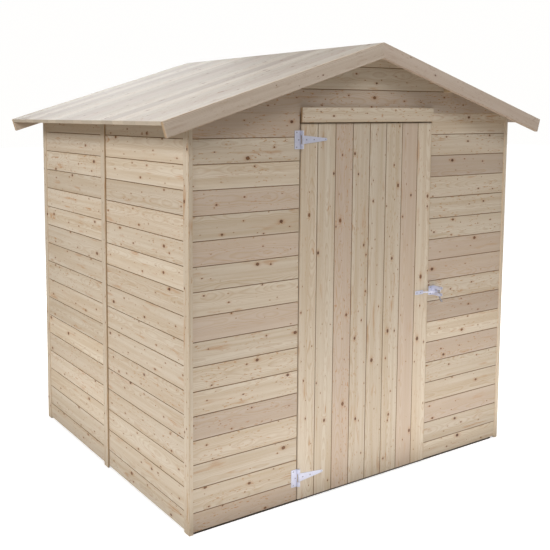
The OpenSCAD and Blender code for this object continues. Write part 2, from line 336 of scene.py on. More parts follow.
class Link:
    """One output of a node, on which arithmetic adds Math nodes."""

    def __init__(self, tree: "Tree", socket: bpy.types.NodeSocket) -> None:
        """Keeps the tree and the socket."""
        self.tree = tree
        self.socket = socket

    def __add__(self, other: Input) -> "Link":
        """self + other"""
        return self.tree.math("ADD", self, other)

    __radd__ = __add__

    def __sub__(self, other: Input) -> "Link":
        """self - other"""
        return self.tree.math("SUBTRACT", self, other)

    def __rsub__(self, other: Input) -> "Link":
        """other - self"""
        return self.tree.math("SUBTRACT", other, self)

    def __mul__(self, other: Input) -> "Link":
        """self * other"""
        return self.tree.math("MULTIPLY", self, other)

    __rmul__ = __mul__

    def __truediv__(self, other: Input) -> "Link":
        """self / other"""
        return self.tree.math("DIVIDE", self, other)

    def __lt__(self, other: Input) -> "Link":
        """1 where self is below other, else 0."""
        return self.tree.math("LESS_THAN", self, other)

    def floor(self) -> "Link":
        """The whole number below."""
        return self.tree.math("FLOOR", self)

    def fraction(self) -> "Link":
        """The part above the whole number."""
        return self.tree.math("FRACT", self)

    def root(self) -> "Link":
        """The square root."""
        return self.tree.math("SQRT", self)

    def peak(self) -> "Link":
        """A bell curve: 1 at 0, and exp(-self^2) elsewhere."""
        return self.tree.math("EXPONENT", self * self * -1.0)

    def bounded(self) -> "Link":
        """Kept between 0 and 1."""
        return self.tree.node("ShaderNodeClamp", {}, {"Value": self})

    def smooth(self, low: float, high: float) -> "Link":
        """Rises smoothly from 0 at low to 1 at high."""
        settings = {"interpolation_type": "SMOOTHSTEP"}
        return self.tree.node(
            "ShaderNodeMapRange", settings, {"Value": self, "From Min": low, "From Max": high}
        )


class Tree:
    """A material's node tree, ending in one Principled shader."""

    def __init__(self, name: str) -> None:
        """Starts a material with an empty tree."""
        self.material = bpy.data.materials.new(name)
        self.material.use_nodes = True
        self.nodes = self.material.node_tree.nodes
        self.nodes.clear()
        self.shader = self.nodes.new("ShaderNodeBsdfPrincipled")
        output = self.nodes.new("ShaderNodeOutputMaterial")
        self.material.node_tree.links.new(self.shader.outputs[0], output.inputs[0])

    def feed(self, socket: bpy.types.NodeSocket, value: Input) -> None:
        """Links a value to a socket, or sets it there."""
        if isinstance(value, Link):
            self.material.node_tree.links.new(value.socket, socket)
        elif socket.type == "RGBA":
            socket.default_value = (*value, 1.0)
        else:
            socket.default_value = value

    def node(
        self,
        kind: str,
        settings: dict[str, object],
        inputs: dict[Union[str, int], Input],
        output: Union[str, int] = 0,
    ) -> Link:
        """Adds any node.

        Args:
            kind: the node's type.
            settings: its properties, which are set first.
            inputs: values or links for its sockets, by name or number.
            output: the socket to return.

        Returns:
            The link from that output.
        """
        made = self.nodes.new(kind)
        for key, value in settings.items():
            setattr(made, key, value)
        for key, value in inputs.items():
            self.feed(made.inputs[key], value)
        return Link(self, made.outputs[output])

    def math(self, operation: str, *values: Input) -> Link:
        """A Math node on one to three values."""
        return self.node("ShaderNodeMath", {"operation": operation}, dict(enumerate(values)))

    def mix(self, factor: Input, first: Input, second: Input, blend: str = "MIX") -> Link:
        """A colour between two colours, or another blend of them."""
        settings = {"data_type": "RGBA", "blend_type": blend, "clamp_factor": True}
        return self.node("ShaderNodeMix", settings, {0: factor, 6: first, 7: second}, 2)

    def vector(self, x: Input, y: Input, z: Input) -> Link:
        """A vector from three values."""
        return self.node("ShaderNodeCombineXYZ", {}, {0: x, 1: y, 2: z})

    def parts(self, vector: Input) -> tuple[Link, Link, Link]:
        """The three values of a vector."""
        made = self.node("ShaderNodeSeparateXYZ", {}, {0: vector})
        return tuple(Link(self, s) for s in made.socket.node.outputs)

    def carried(self, name: str, output: str = "Vector") -> Link:
        """An attribute that the mesh carries."""
        return self.node("ShaderNodeAttribute", {"attribute_name": name}, {}, output)

    def noise(self, vector: Input, scale: float, detail: float = 2.0, rough: float = 0.5) -> Link:
        """Soft noise of about 0 to 1 round a half."""
        inputs = {"Vector": vector, "Scale": scale, "Detail": detail, "Roughness": rough}
        return self.node("ShaderNodeTexNoise", {}, inputs)

    def place(self) -> Link:
        """Object coordinates."""
        return self.node("ShaderNodeTexCoord", {}, {}, "Object")

    def close(
        self, colour: Input, roughness: Input, metallic: Input, height: Link, depth: float
    ) -> bpy.types.Material:
        """Feeds the shader and returns the material.

        Args:
            colour: the base colour.
            roughness: the roughness.
            metallic: 0 for wood, up to 1 for metal.
            height: the relief, from 0 to 1.
            depth: metres from 0 to 1 of the relief.

        Returns:
            The finished material.
        """
        relief = self.node("ShaderNodeBump", {}, {"Strength": 0.6, "Distance": depth, "Height": height})
        self.feed(self.shader.inputs["Base Color"], colour)
        self.feed(self.shader.inputs["Roughness"], roughness)
        self.feed(self.shader.inputs["Metallic"], metallic)
        self.feed(self.shader.inputs["Normal"], relief)
        return self.material


@dataclass(frozen=True)
class KnotSize:
    """One size of knot.

    spacing: metres of board to a knot.
    least, most: the range of radii.
    share: how many of those stretches hold one.
    dark: how dark its rim is.
    """

    spacing: float
    least: float
    most: float
    share: float
    dark: float


@dataclass(frozen=True)
class WoodFinish:
    """Planed or sawn spruce.

    Growth rings are shells round a heart line that wanders along the board, so a board
    cut beside the heart shows arches and one cut far from it shows straight lines. Each
    knot pushes the rings round it outwards.

    pale, tan, rosy: the wood's colours between its rings.
    late, resin, knot, bark: rings, resin, knots and their rims.
    edge: sawn ends; on the narrow sides of cover strips it is painted warm bounce light.
    joint_shade: painted shade inside a joint and on the slopes beside it.
    ring: metres from one ring to the next.
    contrast, flame: how strong the rings and the resin are.
    relief: depth of the bumps, in metres.
    sizes: the kinds of knot.
    """

    name: str
    pale: Colour = paint(210, 198, 180)
    tan: Colour = paint(197, 180, 156)
    rosy: Colour = paint(184, 165, 150)
    late: Colour = paint(178, 150, 118)
    resin: Colour = paint(172, 118, 62)
    knot: Colour = paint(92, 52, 34)
    bark: Colour = paint(54, 32, 22)
    edge: Colour = paint(172, 140, 100)
    joint_shade: Colour = paint(104, 76, 52)
    ring: float = 0.0036
    contrast: float = 0.62
    flame: float = 0.8
    roughness: float = 0.58
    relief: float = 0.0005
    sizes: tuple[KnotSize, ...] = (
        KnotSize(0.43, 0.0048, 0.0086, 0.70, 1.0),
        KnotSize(0.17, 0.0022, 0.0046, 0.75, 0.6),
        KnotSize(0.071, 0.0010, 0.0024, 0.65, 0.3),
    )

    def knots(
        self, tree: Tree, size: KnotSize, seed: float, along: Link, across: Link, half: Link, many: Link
    ) -> tuple[Link, Link, Link, Link, Link]:
        """Knots of one size, at most one in each cell along the board.

        Args:
            tree: the tree to add to.
            size: the size of knot.
            seed: a number of its own for this size.
            along: metres along the board.
            across: metres from its middle.
            half: half its width.
            many: how knotty it is.

        Returns:
            The core, how much of it is red, its dark rim, the stain round it, and the metres
            it lifts the rings.
        """
        cell = (along / size.spacing).floor()
        inputs = {"Vector": tree.vector(cell, seed, 0.5)}
        chance = tree.node("ShaderNodeTexWhiteNoise", {"noise_dimensions": "3D"}, inputs, "Color")
        first, second, third = tree.parts(chance)
        dx = along - (cell + 0.25 + first * 0.5) * size.spacing
        dy = across - (second - 0.5) * half * 1.75
        radius = size.least + (size.most - size.least) * (first * 17.3).fraction()
        there = third < many * size.share
        wobble = tree.noise(tree.vector(along, across, seed), 160.0, 1.0)
        away = (dx * dx * 0.62 + dy * dy).root() / radius + (wobble - 0.5) * 0.5
        core = (1.0 - away.smooth(0.72, 1.08)) * there
        red = core * (first * 31.7).fraction()
        rim = ((away - 0.95) * 4.2).peak() * there * size.dark
        stain = (((dx * 0.45) * (dx * 0.45) + dy * dy).root() / radius * 0.78).peak() * there
        lift = (away * 0.52).peak() * radius * there * 1.9
        return core, red, rim, stain, lift

    def build(self) -> bpy.types.Material:
        """Makes the material."""
        tree = Tree(self.name)
        along, across, depth = tree.parts(tree.carried("grain"))
        rosiness, lightness, knottiness = tree.parts(tree.carried("tone"))
        heart_across, heart_behind, half = tree.parts(tree.carried("heart"))
        cut = tree.carried("cut", "Fac")

        sums = (0.0, 0.0, 0.0, 0.0, 0.0)
        for number, size in enumerate(self.sizes):
            made = self.knots(tree, size, 3.7 * number + 1, along, across, half, knottiness)
            sums = tuple(a + b for a, b in zip(made, sums))
        core, red, rim, stain, lift = sums

        slow = tree.noise(tree.vector(along * 1.7, 0.0, 3.0), 1.0, 2.0)
        slow_behind = tree.noise(tree.vector(along * 2.3, 5.0, 9.0), 1.0, 2.5)
        ripple = tree.noise(tree.vector(along * 9.0, across * 26.0, depth * 26.0), 1.0, 2.0)
        to_side = across - heart_across + (slow - 0.5) * 0.035
        to_back = depth + heart_behind + (slow_behind - 0.5) * 0.055
        shell = (to_side * to_side + to_back * to_back).root() + (ripple - 0.5) * 0.0035 + lift
        step = (shell / self.ring).fraction()
        late = step.smooth(0.35, 0.88) * (1.0 - step.smooth(0.9, 1.0))

        streak = tree.noise(tree.vector(along * 1.1, across * 42.0, depth * 42.0), 1.0, 3.0, 0.6)
        broad = tree.noise(tree.vector(along * 2.6, across * 14.0, depth * 14.0), 1.0, 2.0)
        fibre = tree.noise(tree.vector(along * 30.0, across * 1300.0, depth * 1300.0), 1.0, 1.0)
        flames = tree.noise(tree.vector(along * 5.5, across * 34.0, depth * 34.0), 1.0, 2.0, 0.55)
        patches = tree.noise(tree.vector(along * 7.0, across * 17.0, 4.0), 1.0, 1.0)
        flecks = tree.noise(tree.vector(along * 34.0, across * 130.0, depth * 130.0), 1.0, 2.0, 0.6)
        fleck = flecks.smooth(0.59, 0.66) * patches.smooth(0.43, 0.55) * (lightness * 7.13).fraction()

        colour = tree.mix(streak.smooth(0.32, 0.72), self.pale, self.tan)
        colour = tree.mix(rosiness * (0.65 + broad * 0.7), colour, self.rosy)
        colour = tree.mix(late * (self.contrast * (0.2 + streak * 0.8)), colour, self.late)
        flame = flames.smooth(0.60, 0.76) * (0.35 + late * 0.65) * (1.0 - rosiness * 0.7)
        colour = tree.mix(flame * self.flame, colour, self.resin)
        colour = tree.mix((stain * (0.42 + late * 0.5)).bounded(), colour, self.resin)
        colour = tree.mix(fleck * self.flame, colour, self.resin)
        colour = tree.mix((core * 0.97).bounded(), colour, self.knot)
        colour = tree.mix(red.bounded() * 0.4, colour, self.resin)
        colour = tree.mix((rim * (0.25 + core * 0.75)).bounded() * 0.8, colour, self.bark)
        # Sawn ends and eased edges lean towards the edge colour; on cover strips' narrow sides the same
        # tint is painted warm bounce light.
        colour = tree.mix(cut.smooth(0.1, 1.1) * 0.75, colour, self.edge)
        # painted shade inside the joints and on the slopes beside them
        colour = tree.mix(cut.smooth(1.0, 2.0) * 0.95, colour, self.joint_shade)
        shade = 0.93 + fibre * 0.14 + (lightness - 0.5) * 0.16
        grey = tree.vector(shade, shade, shade)
        colour = tree.mix(1.0, colour, grey, "MULTIPLY")

        roughness = self.roughness + fibre * 0.16 - late * 0.06 - core.bounded() * 0.12
        height = (0.4 + late * 0.25 + fibre * 0.3 + core * 0.2 - rim * 0.3).bounded()
        return tree.close(colour, roughness, 0.0, height, self.relief)


@dataclass(frozen=True)
class SteelFinish:
    """Zinc-plated or dull sheet steel with a faint crystal pattern and fine scratches.

    bright, dull: the colours that the crystals lie between.
    roughness, metallic: the shader's values before the pattern changes them.
    screw: the darker colour of the screws.
    """

    name: str
    bright: Colour
    dull: Colour
    roughness: float
    metallic: float
    screw: Colour = paint(92, 92, 112)

    def build(self) -> bpy.types.Material:
        """Makes the material."""
        tree = Tree(self.name)
        place = tree.place()
        crystals = tree.node("ShaderNodeTexVoronoi", {}, {"Vector": place, "Scale": 420.0}, "Color")
        crystal = tree.parts(crystals)[0]
        cloud = tree.noise(place, 45.0, 3.0)
        x, y, z = tree.parts(place)
        scratch = tree.noise(tree.vector(x * 300.0, y * 300.0, z * 3500.0), 1.0, 2.0)
        colour = tree.mix((cloud * 0.6 + crystal * 0.4).bounded(), self.bright, self.dull)
        colour = tree.mix(tree.carried("cut", "Fac").smooth(2.2, 2.8) * 0.75, colour, self.screw)
        roughness = self.roughness + cloud * 0.14 + crystal * 0.05
        height = (scratch * 0.6 + crystal * 0.4).bounded()
        return tree.close(colour, roughness, self.metallic, height, 0.00006)


class Finishes:
    """Every finish, made once."""

    def __init__(self) -> None:
        """Makes the materials."""
        self.cladding = WoodFinish("planed_spruce").build()
        self.trim = WoodFinish(
            "planed_spruce_strips",
            sizes=(
                KnotSize(0.31, 0.0040, 0.0068, 0.75, 1.0),
                KnotSize(0.15, 0.0020, 0.0038, 0.70, 0.6),
                KnotSize(0.067, 0.0010, 0.0020, 0.60, 0.3),
            ),
        ).build()
        self.barge = WoodFinish(
            "barge_board_spruce",
            pale=paint(216, 204, 189),
            tan=paint(202, 187, 169),
            rosy=paint(190, 170, 157),
            late=paint(170, 142, 120),
            resin=paint(160, 124, 100),
            contrast=0.85,
            flame=0.55,
            sizes=(
                KnotSize(0.90, 0.0040, 0.0070, 0.60, 1.0),
                KnotSize(0.30, 0.0020, 0.0040, 0.60, 0.5),
                KnotSize(0.12, 0.0010, 0.0020, 0.40, 0.3),
            ),
        ).build()
        self.roof = WoodFinish(
            "pale_roof_spruce",
            pale=paint(195, 189, 179),
            tan=paint(186, 175, 161),
            rosy=paint(172, 159, 150),
            late=paint(170, 153, 137),
            resin=paint(158, 124, 96),
            knot=paint(104, 74, 56),
            bark=paint(84, 58, 46),
            edge=paint(190, 176, 156),
            contrast=0.75,
            flame=0.85,
        ).build()
        self.framing = WoodFinish(
            "sawn_spruce",
            pale=paint(204, 185, 156),
            tan=paint(188, 163, 128),
            roughness=0.7,
            relief=0.0009,
        ).build()
        self.sill = WoodFinish(
            "treated_sill",
            pale=paint(74, 66, 52),
            tan=paint(58, 50, 40),
            rosy=paint(66, 56, 46),
            late=paint(46, 38, 30),
            resin=paint(58, 44, 30),
            knot=paint(36, 26, 20),
            bark=paint(24, 18, 14),
            edge=paint(52, 44, 36),
            roughness=0.75,
        ).build()
        self.zinc = SteelFinish("zinc_plate", paint(224, 226, 242), paint(196, 199, 220), 0.38, 0.3).build()
        dull, dark = paint(172, 170, 176), paint(124, 122, 128)
        self.lever = SteelFinish("dull_zinc", dull, dark, 0.42, 0.45).build()


class Timberyard:
    """Hands out lengths of wood, no two from the same place in a tree."""

    def __init__(self, seed: int) -> None:
        """Starts the choice from a fixed seed."""
        self.rng = np.random.default_rng(seed)

    def pick(self, rosy: float = 0.0, knotty: float = 0.6) -> Timber:
        """A length of wood about as rosy and knotty as asked."""
        draw = self.rng.random(6)
        tone = (rosy * (0.85 + 0.15 * draw[0]), draw[1], knotty * (0.7 + 0.6 * draw[2]))
        heart = (0.11 * (draw[3] - 0.5), 0.018 + 0.05 * draw[4])
        return Timber(float(250 * draw[5]), tone, heart)


# ---------------------------------------------------------------- timber


def solids(node: str) -> list[Array]:
    """The corner points of each separate solid of a CAD node.

    Points at one place are merged, then every triangle gives its points the lowest group
    number among them, until nothing changes.
    """
    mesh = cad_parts[node].data
    mesh.calc_loop_triangles()
    places = np.empty(len(mesh.vertices) * 3, np.float32)
    mesh.vertices.foreach_get("co", places)
    corners = np.empty(len(mesh.loop_triangles) * 3, np.int32)
    mesh.loop_triangles.foreach_get("vertices", corners)
    spots, label = np.unique(np.round(places.reshape(-1, 3), 5), axis=0, return_inverse=True)
    triangles = label.ravel()[corners].reshape(-1, 3)
    group = np.arange(len(spots))
    while True:
        lower = group.copy()
        np.minimum.at(lower, triangles, group[triangles].min(axis=1)[:, None])
        if np.array_equal(lower, group):
            return [spots[group == number] for number in np.unique(group)]
        group = lower


def prism(points: Array, axis: Axis) -> tuple[Array, Place]:
    """The cross-section of a straight convex solid.

    Args:
        points: the solid's corners.
        axis: the direction it runs in.

    Returns:
        u, v and the first and last station of each corner of the section, in order round
        its middle, and the place to carry it from.
    """
    along, across, out = axis.value
    section, label = np.unique(np.round(points[:, [across, out]], 4), axis=0, return_inverse=True)
    first = np.full(len(section), np.inf)
    last = np.full(len(section), -np.inf)
    np.minimum.at(first, label.ravel(), points[:, along])
    np.maximum.at(last, label.ravel(), points[:, along])
    turn = section - section.mean(axis=0)
    order = np.argsort(np.arctan2(turn[:, 1], turn[:, 0]))
    unit = np.eye(3)
    corners = np.column_stack([section, first, last])[order]
    return corners, Place((0, 0, 0), unit[along], unit[across], unit[out])


@dataclass
class StraightTimber:
    """A CAD node's bars, rebuilt with eased edges and ends.

    node: the CAD node.
    axis: the direction its bars run in.
    body, slot: the CAD body and the record's material slot.
    radius, ease: rounding of the long edges, and bevel of the two ends.
    knotty, rosy: how knotty and rosy the wood is.
    sawn: whether the narrow sides take the sawn-end colour, as painted warm bounce light.
    """

    node: str
    axis: Axis
    body: str = "shed"
    slot: str = "framing"
    radius: float = 0.002
    ease: tuple[float, float] = (0.0012, 0.0012)
    knotty: float = 0.6
    rosy: float = 0.0
    sawn: bool = False

    def build(self, yard: Timberyard) -> Surface:
        """One bar for each solid of the node."""
        bars = []
        for points in solids(self.node):
            corners, place = prism(points, self.axis)
            timber = yard.pick(self.rosy, self.knotty)
            outline = Outline.eased(corners, self.radius)
            # painted warm bounce light: the narrow sides get the sawn-end tint
            if self.sawn:
                outline = outline.with_bounce_tinted_sides()
            bars.append(carried(outline, place, timber, self.ease))
        return Surface.joined(bars)

    def dress(self, yard: Timberyard, material: bpy.types.Material) -> None:
        """Makes the piece that stands for the node."""
        piece(self.node + "_timber", self.build(yard), material, self.body, self.slot, self.node)


@dataclass(frozen=True)
class BoardShape:
    """The section of a tongue and groove board.

    gap: width of the open joint between two boards.
    chamfer: width of the sloped edges on the shown face.
    back_chamfer: the same on the hidden face.
    tongue: how far the tongue reaches into the next board.
    slope_cut: the cut value of the sloped edges; above 1 they take some painted shade.
    joint_cut: the cut value inside the joint, which sets its painted shade.
    """

    gap: float = 0.0016
    chamfer: float = 0.0014
    back_chamfer: float = 0.0
    tongue: float = 0.004
    slope_cut: float = 1.4
    joint_cut: float = 2.0

    def outline(self, width: float, thick: float, groove: bool, tongue: bool) -> tuple[Array, Array]:
        """The section's corners and what its sides are.

        Args:
            width: from joint to joint.
            thick: from the hidden face to the shown one.
            groove: whether the lower edge takes a tongue.
            tongue: whether the upper edge has one.

        Returns:
            Corners (u, v), and the cut value of each side.
        """
        low = self.gap / 2 * groove
        high = width - self.gap / 2 * tongue
        middle, half = thick / 2, 0.0025
        back, face = self.back_chamfer, self.chamfer
        upper, lower = self.joint_cut * tongue, self.joint_cut * groove
        top_slope = self.slope_cut if tongue else 0.5
        low_slope = self.slope_cut if groove else 0.5
        rows = [(low + back, 0, 0), (high - back, 0, 0.5 if back else upper), (high, back, upper)]
        if tongue:
            tip = width + self.tongue
            rows += [(high, middle - half, upper), (tip, middle - half, upper)]
            rows += [(tip, middle + half, upper), (high, middle + half, upper)]
        rows += [(high, thick - face, top_slope), (high - face, thick, 0)]
        rows += [(low + face, thick, low_slope), (low, thick - face, lower)]
        if groove:
            root, wide = low + self.tongue + 0.0015, half + 0.0004
            rows += [(low, middle + wide, lower), (root, middle + wide, lower)]
            rows += [(root, middle - wide, lower), (low, middle - wide, lower)]
        rows += [(low, back, 0.5 if back else 0)]
        table = np.array(rows, float)
        distinct = np.linalg.norm(table[:, :2] - np.roll(table[:, :2], -1, axis=0), axis=1) > 1e-7
        return table[distinct, :2], table[distinct, 2]


@dataclass
class BoardField:
    """Boards side by side in one plane.

    start: the point where the first board's lower edge meets the hidden face.
    along, across, out: the way the boards run, the way they follow each other, and outward.
    lines: the joints, measured across, from the first edge to the last.
    thick: the boards' thickness.
    reach: gives the two ends of a board at (u, v), in metres along.
    rosy: numbers of the boards that are rosier than the rest.
    knotty: how knotty the boards are.
    very_knotty: numbers of the boards that have the most knots.
    shape: their section.
    uneven: how far a board may lie behind the others.
    rosy_tone, plain_tone: rosiness of the rosy boards, and the most of any other.
    most_knots: how knotty the very knotty boards are.
    """

    start: Sequence[float]
    along: Sequence[float]
    across: Sequence[float]
    out: Sequence[float]
    lines: Sequence[float]
    thick: float
    reach: Reach
    rosy: frozenset[int] = frozenset()
    knotty: float = 0.9
    very_knotty: frozenset[int] = frozenset()
    shape: BoardShape = BoardShape()
    uneven: float = 0.0003
    rosy_tone: float = 0.72
    plain_tone: float = 0.12
    most_knots: float = 1.9

    def build(self, yard: Timberyard) -> Surface:
        """One closed surface for each board."""
        boards = []
        pairs = list(zip(self.lines[:-1], self.lines[1:]))
        for number, (low, high) in enumerate(pairs):
            section, edge = self.shape.outline(high - low, self.thick, number > 0, high < self.lines[-1])
            ends = np.column_stack(self.reach(low + section[:, 0], section[:, 1]))
            set_back = self.uneven * (yard.rng.random() - 1)
            start = np.array(self.start, float) + low * np.array(self.across, float)
            start = start + set_back * np.array(self.out, float)
            timber = yard.pick(
                self.rosy_tone if number in self.rosy else self.plain_tone * yard.rng.random(),
                self.most_knots if number in self.very_knotty else self.knotty,
            )
            outline = Outline(np.column_stack([section, ends]), edge)
            boards.append(carried(outline, Place(start, self.along, self.across, self.out), timber))
        return Surface.joined(boards)


def square_ends(first: float, last: float) -> Reach:
    """Boards cut square, all with the same two ends."""

    def ends(u: Array, v: Array) -> tuple[Array, Array]:
        """The same ends at every corner."""
        return np.full_like(u, first), np.full_like(u, last)

    return ends


def courses(bottom: float, top: float, datum: float, cover: float, least: float = 0.02) -> list[float]:
    """Joint lines between two heights, in steps of one board from a datum.

    Args:
        bottom: the lowest line.
        top: the highest line.
        datum: a height that a joint falls on.
        cover: from joint to joint.
        least: the narrowest strip that may be left at either end.

    Returns:
        The heights of the lines, from the bottom up.
    """
    steps = np.arange(math.ceil((bottom - datum) / cover), math.floor((top - datum) / cover) + 1)
    lines = [datum + cover * s for s in steps]
    return [bottom, *(line for line in lines if bottom + least < line < top - least), top]


@dataclass
class Walls:
    """The four boarded walls and both gables.

    cover: from joint to joint.
    pitch: the roof's slope.
    left_rosy, right_rosy: the rosier courses of the panels.
    apex_gap: how far the top gable board ends under the apex.
    point: half the width that the top gable board keeps at its tip.
    gable_knots, side_knots: how knotty those boards are.
    """

    cover: float = 0.111
    pitch: float = math.radians(17)
    left_rosy: frozenset[int] = frozenset({0, 4, 8, 11, 13, 16})
    right_rosy: frozenset[int] = frozenset({2, 5, 7, 9, 10, 14})
    apex_gap: float = 0.004
    point: float = 0.002
    gable_knots: float = 1.1
    side_knots: float = 1.15

    def panel(
        self, node: str, yard: Timberyard, material: bpy.types.Material, rosy: frozenset[int]
    ) -> None:
        """Boards a front or back wall panel.

        Args:
            node: the CAD panel.
            yard: where the boards come from.
            material: their finish.
            rosy: the rosier courses.
        """
        low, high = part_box(node)
        front = low.y < 0
        out = -1 if front else 1
        lines = [z - low.z for z in courses(low.z, high.z, high.z, self.cover)]
        ends = square_ends(low.x, high.x)
        boards = BoardField(
            (0, high.y if front else low.y, low.z),
            (1, 0, 0), (0, 0, 1), (0, out, 0),
            lines, high.y - low.y, ends, rosy,
        )
        piece(node + "_boards", boards.build(yard), material, "shed", "cladding", node)

    def gable(self, node: str, yard: Timberyard, material: bpy.types.Material) -> None:
        """Boards a gable, each course cut to the roof's slope.

        Args:
            node: the CAD gable.
            yard: where the boards come from.
            material: their finish.
        """
        low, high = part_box(node)
        front = low.y < 0
        rise = math.tan(self.pitch)
        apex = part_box("roof_left")[1].z - self.roof_drop()
        lines = [z - low.z for z in courses(low.z, apex - self.apex_gap, low.z, self.cover)]

        def ends(u: Array, v: Array) -> tuple[Array, Array]:
            """The board reaches the roof's underside, or the wall's end if that is nearer."""
            reach = np.minimum(high.x, np.maximum((apex - low.z - u) / rise, self.point))
            return -reach, reach

        boards = BoardField(
            (0, high.y if front else low.y, low.z),
            (1, 0, 0), (0, 0, 1), (0, -1 if front else 1, 0),
            lines, high.y - low.y, ends, frozenset({0}), self.gable_knots,
        )
        piece(node + "_boards", boards.build(yard), material, "shed", "cladding", node)

    def roof_drop(self) -> float:
        """Height from the ridge down to the boards' underside at the ridge."""
        return self.roof_thickness() / math.cos(self.pitch)

    def roof_thickness(self) -> float:
        """The roof boards' thickness, from the slope's box.

        The eave's upper corner lies a thickness times the cosine above its lower corner,
        so the box's height is the slope's rise plus that.
        """
        low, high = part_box("roof_left")
        return ((high.z - low.z) + low.x * math.tan(self.pitch)) / math.cos(self.pitch)

    def side(self, node: str, yard: Timberyard, material: bpy.types.Material) -> None:
        """Boards a panel of a side wall, up to the height of the front wall's top.

        Args:
            node: the CAD panel.
            yard: where the boards come from.
            material: their finish.
        """
        low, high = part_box(node)
        left = low.x < 0
        thick = high.x - low.x
        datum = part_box("front_wall_left")[1].z
        lines = [z - low.z for z in courses(low.z, datum, datum, self.cover)]
        ends = square_ends(low.y, high.y)
        boards = BoardField(
            (high.x if left else low.x, 0, low.z),
            (0, 1, 0), (0, 0, 1), (-1 if left else 1, 0, 0),
            lines, thick, ends, frozenset(), self.side_knots,
        )
        piece(node + "_boards", boards.build(yard), material, "shed", "cladding", node)

    def dress(self, yard: Timberyard, finishes: Finishes) -> None:
        """Boards every wall."""
        self.panel("front_wall_left", yard, finishes.cladding, self.left_rosy)
        self.panel("front_wall_right", yard, finishes.cladding, self.right_rosy)
        self.panel("back_wall_left", yard, finishes.cladding, self.right_rosy)
        self.panel("back_wall_right", yard, finishes.cladding, self.left_rosy)
        self.gable("front_gable", yard, finishes.cladding)
        self.gable("back_gable", yard, finishes.cladding)
        for side in ("left", "right"):
            for end in ("front", "rear"):
                self.side(f"{side}_wall_{end}", yard, finishes.cladding)


@dataclass
class Roof:
    """Two boarded slopes and four barge boards.

    pitch: the roof's slope.
    cover: from joint to joint, about.
    rosy: the rosier boards of each slope, from the front.
    knotty: how knotty the boards are.
    barge_radius, barge_bevel: rounding of the barge boards' edges, and bevel of their ends.
    barge_rosy: rosiness of the left and the right barge boards.
    shape: the section of the roof's boards.
    """

    pitch: float = math.radians(17)
    cover: float = 0.113
    rosy: frozenset[int] = frozenset({1, 4, 7, 8, 12, 14})
    knotty: float = 1.2
    barge_radius: float = 0.003
    barge_bevel: float = 0.0025
    barge_rosy: tuple[float, float] = (0.15, 0.45)
    shape: BoardShape = BoardShape(0.0005, 0.0004, back_chamfer=0.002, slope_cut=0.5, joint_cut=1.5)

    def slope(self, side: int) -> tuple[Array, Array, float]:
        """One slope's downward direction, its outward direction, and its length."""
        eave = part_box("roof_left")[0].x
        down = np.array([side * math.cos(self.pitch), 0, -math.sin(self.pitch)])
        out = np.array([side * math.sin(self.pitch), 0, math.cos(self.pitch)])
        return down, out, -eave / math.cos(self.pitch)

    def boards(
        self, node: str, side: int, thick: float, yard: Timberyard, material: bpy.types.Material
    ) -> None:
        """Lays the boards of one slope, from the ridge to the eave.

        Args:
            node: the CAD slope.
            side: -1 left, 1 right.
            thick: the boards' thickness.
            yard: where the boards come from.
            material: their finish.
        """
        low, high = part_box(node)
        down, out, length = self.slope(side)
        span = high.y - low.y
        count = round(span / self.cover)
        lines = np.linspace(0, span, count + 1).tolist()
        lean = math.tan(self.pitch)

        def ends(u: Array, v: Array) -> tuple[Array, Array]:
            """A board starts on an upright plane under the ridge and ends square at the eave."""
            return (thick - v) * lean, np.full_like(u, length)

        start = np.array([0, low.y, high.z]) - thick * out
        boards = BoardField(
            start, down, (0, 1, 0), out, lines, thick, ends, self.rosy, self.knotty,
            shape=self.shape, uneven=0.0002,
        )
        piece(node + "_boards", boards.build(yard), material, "shed", "roof_boards", node)

    def barge(self, node: str, side: int, yard: Timberyard, material: bpy.types.Material) -> None:
        """Makes one barge board, mitred upright at the ridge and square at the eave.

        Args:
            node: the CAD board.
            side: -1 left, 1 right.
            yard: where the board comes from.
            material: its finish.
        """
        low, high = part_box(node)
        down, out, length = self.slope(side)
        rise = length * math.sin(self.pitch)
        deep = (high.z - low.z - rise) / math.cos(self.pitch)
        corners = np.array(
            [
                (low.y, 0, deep * math.tan(self.pitch), length),
                (high.y, 0, deep * math.tan(self.pitch), length),
                (high.y, deep, 0, length),
                (low.y, deep, 0, length),
            ]
        )
        place = Place(np.array([0, 0, high.z]) - deep * out, down, (0, 1, 0), out)
        timber = yard.pick(self.barge_rosy[side > 0])
        board = carried(Outline.eased(corners, self.barge_radius), place, timber, (0.0, self.barge_bevel))
        piece(node + "_timber", board, material, "shed", "trim", node)

    def dress(self, yard: Timberyard, finishes: Finishes, thick: float) -> None:
        """Lays both slopes and their barge boards."""
        self.boards("roof_left", -1, thick, yard, finishes.roof)
        self.boards("roof_right", 1, thick, yard, finishes.roof)
        for end in ("front", "back"):
            self.barge(f"{end}_left_barge", -1, yard, finishes.barge)
            self.barge(f"{end}_right_barge", 1, yard, finishes.barge)


